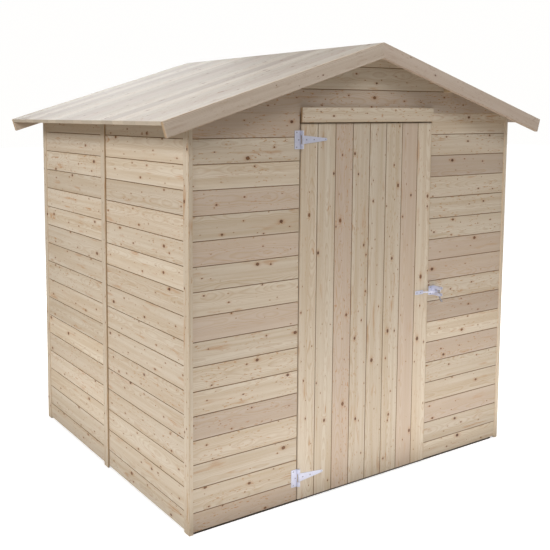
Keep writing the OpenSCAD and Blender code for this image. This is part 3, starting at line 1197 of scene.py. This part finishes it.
@dataclass
class Strips:
    """Corner strips, cover strips, sills and the hidden frame, all straight timber.

    strip_radius, sill_radius: how far the edges are rounded.
    corner_knots, cover_knots, header_knots: how knotty each kind is.
    """

    strip_radius: float = 0.0022
    sill_radius: float = 0.001
    corner_knots: float = 1.1
    cover_knots: float = 0.9
    header_knots: float = 1.3

    def parts(self) -> list[StraightTimber]:
        """Every straight node with the direction it runs in."""
        trim = {"slot": "trim", "radius": self.strip_radius}
        upright = [f"{end}_{side}_corner" for end in ("front", "back") for side in ("left", "right")]
        covers = ["left_cover_strip", "right_cover_strip", "back_cover_strip"]
        made = [StraightTimber(name, Axis.Z, knotty=self.corner_knots, **trim) for name in upright]
        # the cover strips' narrow sides take painted warm bounce light
        made += [
            StraightTimber(name, Axis.Z, knotty=self.cover_knots, sawn=True, **trim) for name in covers
        ]
        made += [StraightTimber("door_header", Axis.X, knotty=self.header_knots, **trim)]
        posts = ("corner_studs", "door_jambs", "side_studs", "back_stud")
        made += [StraightTimber(name, Axis.Z) for name in posts]
        made += [StraightTimber(name, Axis.Y) for name in ("side_rails", "ridge_beam", "purlins")]
        made += [StraightTimber("end_rails", Axis.X)]
        made += [StraightTimber("door_ledges", Axis.X, body="door")]
        made += [
            StraightTimber(name, Axis.X, slot="treated_sill", radius=self.sill_radius, ease=(0.0, 0.0))
            for name in ("front_sill", "back_sill")
        ]
        return made

    def dress(self, yard: Timberyard, finishes: Finishes) -> None:
        """Makes every straight piece."""
        materials = {"trim": finishes.trim, "framing": finishes.framing, "treated_sill": finishes.sill}
        for part in self.parts():
            part.dress(yard, materials[part.slot])


# ---------------------------------------------------------------- fittings


@dataclass(frozen=True)
class Screw:
    """A countersunk cross-head screw in a plate that faces -Y.

    radius: the head's.
    dome: how far its middle stands in front of the plate.
    sink, arm, slit: depth, half length and half width of the cross.
    turn: the angle that the cross is set at.
    rim, root: how far the head's rim and its hidden back lie behind the plate's face.
    sides: points round it.
    """

    radius: float = 0.0036
    dome: float = 0.0004
    sink: float = 0.0011
    arm: float = 0.0021
    slit: float = 0.00055
    turn: float = 0.4
    rim: float = 0.0004
    root: float = 0.0012
    sides: int = 32

    def build(self, x: float, y: float, z: float) -> Surface:
        """The head, as height over a disc.

        Over angle a and radius r the face lies dome (1 - (r/R)^2) in front of the plate,
        less the depth of a cross: sink (1 - r/arm) where either arm of the cross passes.

        Args:
            x: the screw's place along the plate.
            y: the plate's front face.
            z: the screw's height.

        Returns:
            The closed head.
        """
        shares = np.array([0.02, 0.16, 0.3, 0.44, 0.58, 0.72, 0.9, 1.0, 1.0, 0.8, 0.02])
        radius = shares[:, None] * self.radius
        turn = (np.arange(self.sides) + 0.5) * 2 * math.pi / self.sides + self.turn
        own = turn - self.turn
        side = np.minimum(np.abs(np.sin(own)), np.abs(np.cos(own)))[None, :] * radius
        cross = np.clip(1.6 - side / self.slit, 0, 1) * np.clip(1 - radius / self.arm, 0, 1) * self.sink
        front = self.dome * (1 - shares[:, None] ** 2) - cross
        face = int(np.argmax(shares)) + 1
        front[face] = -self.rim
        front[face + 1 :] = -self.root
        points = np.stack(
            [x + radius * np.cos(turn), y - front, z + radius * np.sin(turn)], axis=-1
        )
        head = grid(points)
        head.cut = np.full_like(head.cut, 3.0)
        return head


def rectangle(left: float, bottom: float, right: float, top: float) -> Array:
    """The corners of an upright rectangle, in order."""
    return np.array([(left, bottom), (right, bottom), (right, top), (left, top)])


def plate(outline: Array, back: float, front: float, radius: float) -> Surface:
    """A flat plate that faces -Y, with rounded corners and a small bevel at its front rim.

    Args:
        outline: its corners (x, z), in order.
        back: y of the back face.
        front: y of the front face.
        radius: the corners' radius.

    Returns:
        The closed plate.
    """
    corners = np.column_stack([outline, np.zeros(len(outline)), np.full(len(outline), back - front)])
    rounded = Outline.eased(corners, radius, 5)
    place = Place((0, back, 0), (0, -1, 0), (1, 0, 0), (0, 0, 1))
    bevel = 0.0004
    return carried(rounded, place, ease=(0.0, bevel))


def barrel(x: float, y: float, low: float, high: float, radius: float) -> Surface:
    """An upright round bar with eased rims.

    At turn a and height z a point is (x + r cos a, y + r sin a, z), where r draws in by
    the ease at both ends.

    Args:
        x: the bar's middle.
        y: the bar's middle.
        low: its lower end.
        high: its upper end.
        radius: half its thickness.

    Returns:
        The closed bar.
    """
    sides, ease, hole = 32, 0.0006, 0.02
    turn = np.linspace(0, 2 * math.pi, sides + 1)[:-1]
    heights = np.array([low, low, low + ease, high - ease, high, high])
    radii = np.array([hole, 1 - ease / radius, 1, 1, 1 - ease / radius, hole]) * radius
    ring = np.stack([np.cos(turn), np.sin(turn), np.zeros(sides)], axis=-1)
    rise = heights[:, None, None] * np.array([0, 0, 1])
    return grid(np.array([x, y, 0]) + radii[:, None, None] * ring + rise)


def tube(
    path: Array, radius: Array, up: Array, flat: Array, power: float = 2.0, sides: int = 28
) -> Surface:
    """A bar that follows a path and may change its size.

    At turn a a point lies across |cos a|^(2/n) on one side and |sin a|^(2/n) on the other,
    the outline of a rounded block that is a circle when n is 2.

    Args:
        path: the middle line, one row a point.
        radius: half the width at each point, in the path's plane.
        up: the direction square to the path's plane.
        flat: half the thickness at each point, along up.
        power: n, 2 for round and more for square.
        sides: points round the bar.

    Returns:
        The closed bar.
    """
    way = np.gradient(path, axis=0)
    way /= np.linalg.norm(way, axis=1)[:, None]
    aside = np.cross(way, up)
    turn = np.linspace(0, 2 * math.pi, sides + 1)[:-1]
    wave = np.array([np.cos(turn), np.sin(turn)])
    across, over = np.sign(wave) * np.abs(wave) ** (2 / power)
    first = across[None, :, None] * aside[:, None] * radius[:, None, None]
    second = over[None, :, None] * np.asarray(up)[None, None] * flat[:, None, None]
    return grid(path[:, None] + first + second)


def smoothed(values: Array) -> Array:
    """Each value becomes half itself and a quarter of each neighbour."""
    return np.convolve(np.pad(values, 1, mode="edge"), [0.25, 0.5, 0.25], mode="valid")


@dataclass
class TeeHinge:
    """A T-hinge: an upright plate on the wall and a tapering strap on the door.

    level: upper or lower.
    thick: the sheet.
    knuckle: the barrel's radius.
    tip: the strap's height at its tip.
    gap: room between the plate and the strap's barrel.
    screw, small_screw: the screws, and the one at the strap's tip.
    plate_screws: places on the plate, as shares of its width and of its height from the middle.
    strap_screws: places along the strap, as shares of its length.
    """

    level: str
    thick: float = 0.003
    knuckle: float = 0.0055
    tip: float = 0.012
    gap: float = 0.0005
    screw: Screw = Screw()
    small_screw: Screw = Screw(radius=0.003)
    plate_screws: tuple[tuple[float, float], ...] = ((0.32, 0.40), (0.66, 0.0), (0.32, -0.40))
    strap_screws: tuple[float, ...] = (0.16, 0.46, 0.93)

    def sizes(self) -> tuple[float, float, float, float]:
        """The pin's x and y, and the hinge's middle height and the strap's root height."""
        low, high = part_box(f"{self.level}_hinge_strap")
        return low.x + self.knuckle, low.y + self.knuckle, (low.z + high.z) / 2, high.z - low.z

    def wall_half(self) -> Surface:
        """The plate, its two knuckles, the folded steps behind them and three screws."""
        low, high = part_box(f"{self.level}_hinge_plate")
        x, y, z, root = self.sizes()
        back = high.y
        edge = x - self.knuckle - self.gap
        outline = rectangle(low.x, low.z, edge, high.z)
        parts = [plate(outline, back, back - self.thick, 0.002)]
        clear = root / 2 + self.gap
        for bottom, top in ((low.z, z - clear), (z + clear, high.z)):
            parts.append(barrel(x, y, bottom, top, self.knuckle))
            parts.append(self.fold(edge, x, y, back, bottom, top))
        wide, tall = edge - low.x, high.z - low.z
        for share, up in self.plate_screws:
            parts.append(self.screw.build(low.x + wide * share, back - self.thick, z + up * tall))
        return Surface.joined(parts)

    def fold(self, edge: float, x: float, y: float, back: float, bottom: float, top: float) -> Surface:
        """The sheet between the plate and one knuckle.

        Its section is an L: forward from the plate, then across to the barrel's middle.
        """
        t = self.thick
        section = np.array(
            [
                (edge - t, back), (edge, back), (edge, y + t / 2), (x, y + t / 2),
                (x, y - t / 2), (edge - t, y - t / 2),
            ]
        )
        ends = np.tile([bottom, top], (len(section), 1))
        outline = Outline(np.column_stack([section, ends]), np.zeros(len(section)))
        return carried(outline, Place((0, 0, 0), (0, 0, 1), (1, 0, 0), (0, 1, 0)))

    def door_half(self) -> Surface:
        """The strap, its knuckle and three screws."""
        low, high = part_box(f"{self.level}_hinge_strap")
        x, y, z, root = self.sizes()
        back = high.y
        end = high.x
        start, turn = x + 0.002, end - self.tip * 0.4
        outline = np.array(
            [
                (start, z - root / 2), (turn, z - self.tip / 2), (end, z - self.tip * 0.2),
                (end, z + self.tip * 0.2), (turn, z + self.tip / 2), (start, z + root / 2),
            ]
        )
        front = back - self.thick
        parts = [plate(outline, back, front, 0.0022), barrel(x, y, low.z, high.z, self.knuckle)]
        for share in self.strap_screws:
            screw = self.small_screw if share == self.strap_screws[-1] else self.screw
            parts.append(screw.build(x + (end - x) * share + 0.001, front, z))
        return Surface.joined(parts)

    def dress(self, finishes: Finishes) -> None:
        """Makes both halves."""
        plate_node, strap_node = f"{self.level}_hinge_plate", f"{self.level}_hinge_strap"
        piece(plate_node + "_steel", self.wall_half(), finishes.zinc, "shed", "galvanised", plate_node)
        piece(strap_node + "_steel", self.door_half(), finishes.zinc, "door", "galvanised", strap_node)


@dataclass
class GateLatch:
    """The striker bar on the door and the latch with its lever on the wall.

    thick: the latch's sheet.
    plate_wide, plate_height, plate_thick: the striker's plate.
    bar_radius: half the striker bar's thickness.
    lean: the bar's angle from the plate to its bend.
    bend: how far the bend reaches along each arm.
    slot_half, slot_deep: half the jaws' slot, and its depth.
    flared: how far from its front edge a cheek flares.
    flare: how far the inner cheek's front edge moves along X.
    play: room between the inner cheek and the lever.
    lip: how far the jaws' tips stand above the rest.
    bar_back, bar_start: the bar's middle behind its front, and its start before the plate's end.
    pin_radius, pin_back, pin_drop: the lever's pin, behind the wall face and under the top.
    screw_margin: from the latch plate's ends to its screws.
    eye: radius of the lever's eye.
    """

    thick: float = 0.0025
    plate_wide: float = 0.058
    plate_height: float = 0.02
    plate_thick: float = 0.003
    bar_radius: float = 0.004
    lean: float = math.radians(24)
    bend: float = 0.012
    slot_half: float = 0.0095
    slot_deep: float = 0.038
    flared: float = 0.018
    flare: float = -0.003
    play: float = 0.00125
    lip: float = 0.001
    bar_back: float = 0.0043
    bar_start: float = 0.008
    pin_radius: float = 0.003
    pin_back: float = 0.044
    pin_drop: float = 0.007
    screw_margin: float = 0.0075
    eye: float = 0.007
    screw: Screw = Screw()

    def striker(self) -> Surface:
        """The striker's plate, its two screws and the bent bar.

        The bar's middle line runs from the plate to the bend, round a quadratic curve, and
        on along X. Its far end is drawn in to a dome.
        """
        low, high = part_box("striker_bar")
        height = (low.z + high.z) / 2
        face = high.y - self.plate_thick
        radius = self.bar_radius
        right = low.x + self.plate_wide
        half = self.plate_height / 2
        outline = rectangle(low.x, height - half, right, height + half)
        front = low.y + self.bar_back
        root = np.array([right - self.bar_start, face - 0.001, height])
        out = root[1] - front
        corner = np.array([root[0] + out / math.tan(self.lean), front, height])
        tip = np.array([high.x, front, height])
        before = corner + (root - corner) * self.bend / np.linalg.norm(root - corner)
        after = corner + (tip - corner) * self.bend / np.linalg.norm(tip - corner)
        t = np.linspace(0, 1, 12)[:, None]
        curve = (1 - t) ** 2 * before + 2 * t * (1 - t) * corner + t**2 * after
        quarter = np.linspace(0.05, 1, 6) * math.pi / 2
        dome, rise = np.sin(quarter), 1 - np.cos(quarter)
        way = (tip - after) / np.linalg.norm(tip - after)
        last = tip - way * radius * rise[:, None]
        path = np.vstack([root, root + (before - root) * 0.5, curve, last[::-1]])
        size = np.r_[np.full(len(path) - len(dome), radius), radius * dome[::-1]]
        parts = [
            plate(outline, high.y, face, 0.0025),
            tube(path, size, np.array([0.0, 0, 1]), size),
        ]
        for share in (0.2, 0.66):
            parts.append(self.screw.build(low.x + self.plate_wide * share, face, height))
        return Surface.joined(parts)

    def cheek(self, x: float, thick: float, flare: float) -> Surface:
        """One cheek of the latch, two jaws with the slot between them.

        Near its front edge a cheek moves along X by flare times the square of a share, which
        rises from 0 to 1 over the flared length and is 1 at the front edge.

        Args:
            x: where its sheet starts.
            thick: the sheet.
            flare: how far the front edge moves.

        Returns:
            The closed cheek.
        """
        low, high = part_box("latch_body")
        z0, z1 = low.z, high.z - self.lip
        mouth, wall = low.y, high.y
        slot = (z0 + z1) / 2
        top, bottom, root = slot + self.slot_half, slot - self.slot_half, mouth + self.slot_deep
        outline = np.array(
            [
                (wall, z0), (wall, z1), (mouth + 0.02, z1 + 0.0004), (mouth, z1 + self.lip),
                (mouth, top + 0.003), (mouth + 0.010, top), (root, top), (root, bottom),
                (mouth + 0.010, bottom),
                (mouth, bottom - 0.002), (mouth, z0), (mouth + 0.02, z0),
            ]
        )
        ends = np.tile([0.0, thick], (len(outline), 1))
        section = Outline.eased(np.column_stack([outline, ends]), 0.0016, 3)
        made = carried(section, Place((x, 0, 0), (1, 0, 0), (0, 1, 0), (0, 0, 1)), ease=(0.0003, 0.0003))
        share = np.clip((mouth + self.flared - made.points[:, 1]) / self.flared, 0, 1)
        return made.moved(made.points + np.outer(share**2 * flare, [1.0, 0, 0]))

    def body(self) -> Surface:
        """The wall plate, both cheeks, the lever's pin and two screws."""
        low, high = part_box("latch_body")
        lever_low, lever_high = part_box("latch_lever")
        z0, z1 = low.z, high.z - self.lip
        t = self.thick
        inner = lever_low.x - self.play - t
        outline = rectangle(low.x, z0, high.x, z1)
        parts = [plate(outline, high.y, high.y - t, 0.0025)]
        parts += [self.cheek(inner, t, self.flare), self.cheek(high.x - t, t, 0.0)]
        pin_z = lever_high.z - self.pin_drop
        pin_y = high.y - self.pin_back
        pin = barrel(0, 0, inner - 0.0008, high.x, self.pin_radius)
        turned = np.column_stack([pin.points[:, 2], pin_y + pin.points[:, 1], pin_z - pin.points[:, 0]])
        parts.append(pin.moved(turned))
        for up in (self.screw_margin, z1 - z0 - self.screw_margin):
            parts.append(self.screw.build((low.x + inner) / 2, high.y - t, z0 + up))
        return Surface.joined(parts)

    def lever(self) -> Surface:
        """The lever: a round eye, a thin shank and a tail that curves forward and thickens."""
        low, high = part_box("latch_lever")
        middle = (low.x + high.x) / 2
        top = np.array([high.y - self.eye, high.z - self.eye])
        spine = np.array(
            [(0, 0.0068), (0, 0.004), (0, 0), (-0.0008, -0.007), (-0.0015, -0.013), (-0.0016, -0.022),
             (-0.0012, -0.032), (-0.0022, -0.041), (-0.0052, -0.050), (-0.0105, -0.058), (-0.0165, -0.064),
             (-0.0215, -0.068), (-0.0238, -0.0698)]
        )
        half = np.array(
            [0.0012, 0.0056, 0.007, 0.0046, 0.0032, 0.0030, 0.0032, 0.0036, 0.0040, 0.0044, 0.0047,
             0.0042, 0.0012]
        )
        count = 40
        share = np.linspace(0, 1, count)
        knots = np.linspace(0, 1, len(spine))
        y = top[0] + np.interp(share, knots, spine[:, 0])
        z = top[1] + np.interp(share, knots, spine[:, 1])
        path = np.column_stack([np.full(count, middle), smoothed(y), smoothed(z)])
        wide = np.interp(share, knots, half)
        thick = np.minimum((high.x - low.x) / 2, wide * 1.4)
        return tube(path, wide, np.array([1.0, 0, 0]), thick, 3.2, 24)

    def dress(self, finishes: Finishes) -> None:
        """Makes the striker, the latch and the lever."""
        piece("striker_bar_steel", self.striker(), finishes.zinc, "door", "galvanised", "striker_bar")
        piece("latch_body_steel", self.body(), finishes.zinc, "shed", "galvanised", "latch_body")
        lever = self.lever()
        piece("latch_lever_steel", lever, finishes.lever, "latch_lever", "lever_steel", "latch_lever")


@dataclass
class Door:
    """The boarded leaf and the braces on its inside.

    cover: from joint to joint.
    rosy, very_knotty: numbers of those boards, from the left.
    knotty: how knotty the others are.
    """

    cover: float = 0.1108
    rosy: frozenset[int] = frozenset({2, 6})
    very_knotty: frozenset[int] = frozenset({5})
    knotty: float = 0.7

    def leaf(self, yard: Timberyard) -> Surface:
        """Eight upright boards, the outer two cut narrower."""
        low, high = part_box("door_leaf")
        inner = [self.cover * k for k in range(-3, 4)]
        lines = [x - low.x for x in (low.x, *inner, high.x)]
        ends = square_ends(low.z, high.z)
        boards = BoardField(
            (low.x, high.y, 0), (0, 0, 1), (1, 0, 0), (0, -1, 0), lines, high.y - low.y, ends,
            self.rosy, self.knotty, self.very_knotty,
        )
        return boards.build(yard)

    def braces(self, yard: Timberyard) -> Surface:
        """Two slanting boards between the ledges, their ends cut level."""
        bars = []
        for points in solids("door_braces"):
            low, high = points.min(axis=0), points.max(axis=0)
            foot = points[points[:, 2] < low[2] + 0.001, 0]
            head = points[points[:, 2] > high[2] - 0.001, 0]
            rise = high[2] - low[2]
            way = np.array([(head.min() - foot.min()) / rise, 0, 1])
            length = rise * np.linalg.norm(way)
            wide = foot.max() - foot.min()
            corners = np.array(
                [(0, 0, 0, length), (wide, 0, 0, length), (wide, high[1] - low[1], 0, length),
                 (0, high[1] - low[1], 0, length)]
            )
            place = Place((foot.min(), low[1], low[2]), way / np.linalg.norm(way), (1, 0, 0), (0, 1, 0))
            bars.append(carried(Outline.eased(corners, 0.002), place, yard.pick()))
        return Surface.joined(bars)

    def dress(self, yard: Timberyard, finishes: Finishes) -> None:
        """Makes the leaf and the braces."""
        piece("door_leaf_boards", self.leaf(yard), finishes.cladding, "door", "cladding", "door_leaf")
        piece("door_braces_timber", self.braces(yard), finishes.framing, "door", "framing", "door_braces")


# ---------------------------------------------------------------- studio


@dataclass(frozen=True)
class Softbox:
    """A rectangular area light that looks at a point and isn't seen itself.

    spot, aim: where it hangs and where it looks.
    wide, high: its size in metres.
    power: in watts.
    """

    name: str
    spot: tuple[float, float, float]
    aim: tuple[float, float, float]
    wide: float
    high: float
    power: float

    def place(self) -> None:
        """Adds the light."""
        data = bpy.data.lights.new(self.name, "AREA")
        data.shape = "RECTANGLE"
        data.size, data.size_y = self.wide, self.high
        data.energy = self.power
        lamp = bpy.data.objects.new(self.name, data)
        lamp.location = self.spot
        way = np.array(self.aim) - np.array(self.spot)
        turn = math.atan2(way[1], way[0]) - math.pi / 2
        tilt = math.atan2(way[2], math.hypot(way[0], way[1])) + math.pi / 2
        lamp.rotation_euler = (tilt, 0, turn)
        lamp.visible_camera = False
        bpy.context.scene.collection.objects.link(lamp)


@dataclass
class Studio:
    """A pale floor, an even sky, soft lights and the camera.

    sky: strength of the light from the sky.
    floor_half: half the floor's side.
    bounce: the floor's colour as it lights the shed.
    pale: the floor's colour as it is seen.
    glow_near, glow_far: light added to the seen floor beside the shed and away from it.
    clearing: the distances where the first ends and the second begins.
    lights: the area lights.
    eye, turn, dip: the camera's place, and its turn and dip in degrees.
    lens, shift: its lens in millimetres, and its shift.
    """

    sky: float = 0.28
    floor_half: float = 40.0
    bounce: Colour = (0.44, 0.39, 0.33)
    pale: Colour = (0.80, 0.80, 0.80)
    glow_near: Colour = (0.50, 0.50, 0.50)
    glow_far: Colour = (0.86, 0.86, 0.86)
    clearing: tuple[float, float] = (0.9, 2.4)
    lights: tuple[Softbox, ...] = (
        Softbox("key", (-6.5, -1.3, 4.6), (0, 0, 0.9), 2.2, 2.2, 290.0),
        Softbox("high_front", (0.0, -3.2, 5.2), (0, -0.8, 0.8), 4.0, 1.5, 85.0),
        Softbox("glow_front", (0.2, -1.58, 0.02), (0.2, -1.58, 1.0), 1.2, 2.8, 13.0),
        Softbox("low_front", (0.2, -2.3, 0.14), (0.2, -0.8, 0.12), 2.6, 0.24, 8.0),
        Softbox("glow_left", (-1.8, -0.1, 0.02), (-1.8, -0.1, 1.0), 2.2, 1.2, 6.0),
        Softbox("low_left", (-2.5, -0.1, 0.14), (-1.0, -0.1, 0.12), 2.0, 0.24, 3.0),
        Softbox("fill_back", (1.5, 5.5, 3.4), (0, 0, 0.9), 3.0, 2.2, 190.0),
        Softbox("fill_right", (6.0, -0.5, 2.8), (0, 0, 0.9), 3.0, 2.2, 120.0),
    )
    eye: tuple[float, float, float] = (-2.788, -3.766, 1.866)
    turn: float = 32.323
    dip: float = 5.495
    lens: float = 52.61
    shift: tuple[float, float] = (0.1192, -0.1509)

    def floor(self) -> None:
        """A wide plane a hair below the ground, which is seen brighter than it lights."""
        h, z = self.floor_half, -0.0005
        mesh = bpy.data.meshes.new("studio_floor")
        mesh.from_pydata([(-h, -h, z), (h, -h, z), (h, h, z), (-h, h, z)], [], [(0, 1, 2, 3)])
        tree = Tree("studio_floor")
        place = tree.place()
        cloud = tree.noise(place, 0.6, 2.0)
        seen = tree.node("ShaderNodeLightPath", {}, {}, "Is Camera Ray")
        colour = tree.mix(seen, self.bounce, self.pale)
        x, y = tree.parts(place)[:2]
        far = (x * x + y * y).root().smooth(*self.clearing)
        glow = tree.mix(seen, (0.0, 0.0, 0.0), tree.mix(far, self.glow_near, self.glow_far))
        tree.feed(tree.shader.inputs["Emission Color"], glow)
        tree.shader.inputs["Emission Strength"].default_value = 1.0
        mesh.materials.append(tree.close(colour, 0.9, 0.0, cloud, 0.0001))
        made = bpy.data.objects.new("studio_floor", mesh)
        bpy.context.scene.collection.objects.link(made)

    def background(self) -> None:
        """An even sky that shows white."""
        world = bpy.data.worlds.new("studio_sky")
        bpy.context.scene.world = world
        world.use_nodes = True
        nodes, links = world.node_tree.nodes, world.node_tree.links
        nodes.clear()
        path = nodes.new("ShaderNodeLightPath")
        strength = nodes.new("ShaderNodeMapRange")
        strength.inputs["To Min"].default_value = self.sky
        strength.inputs["To Max"].default_value = 1.0
        glow = nodes.new("ShaderNodeBackground")
        glow.inputs["Color"].default_value = (1.0, 0.995, 0.985, 1.0)
        output = nodes.new("ShaderNodeOutputWorld")
        links.new(path.outputs["Is Camera Ray"], strength.inputs["Value"])
        links.new(strength.outputs[0], glow.inputs["Strength"])
        links.new(glow.outputs[0], output.inputs[0])

    def camera(self) -> None:
        """The camera, standing upright with a small shift for the framing."""
        data = bpy.data.cameras.new("camera")
        data.sensor_width = 36.0
        data.lens = self.lens
        data.shift_x, data.shift_y = self.shift
        data.clip_start, data.clip_end = 0.05, 200.0
        made = bpy.data.objects.new("camera", data)
        made.location = self.eye
        made.rotation_euler = (math.radians(90 - self.dip), 0, -math.radians(self.turn))
        bpy.context.scene.collection.objects.link(made)
        bpy.context.scene.camera = made

    def dress(self) -> None:
        """Sets up the whole studio."""
        self.floor()
        self.background()
        self.camera()
        for light in self.lights:
            light.place()
        bpy.context.scene.view_settings.view_transform = "Standard"


def main() -> None:
    """Builds every piece in order."""
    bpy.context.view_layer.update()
    finishes = Finishes()
    yard = Timberyard(seed=17)
    walls = Walls()
    walls.dress(yard, finishes)
    Roof().dress(yard, finishes, walls.roof_thickness())
    Strips().dress(yard, finishes)
    Door().dress(yard, finishes)
    for level in ("upper", "lower"):
        TeeHinge(level).dress(finishes)
    GateLatch().dress(finishes)
    Studio().dress()


if __name__ == "__main__":
    main()
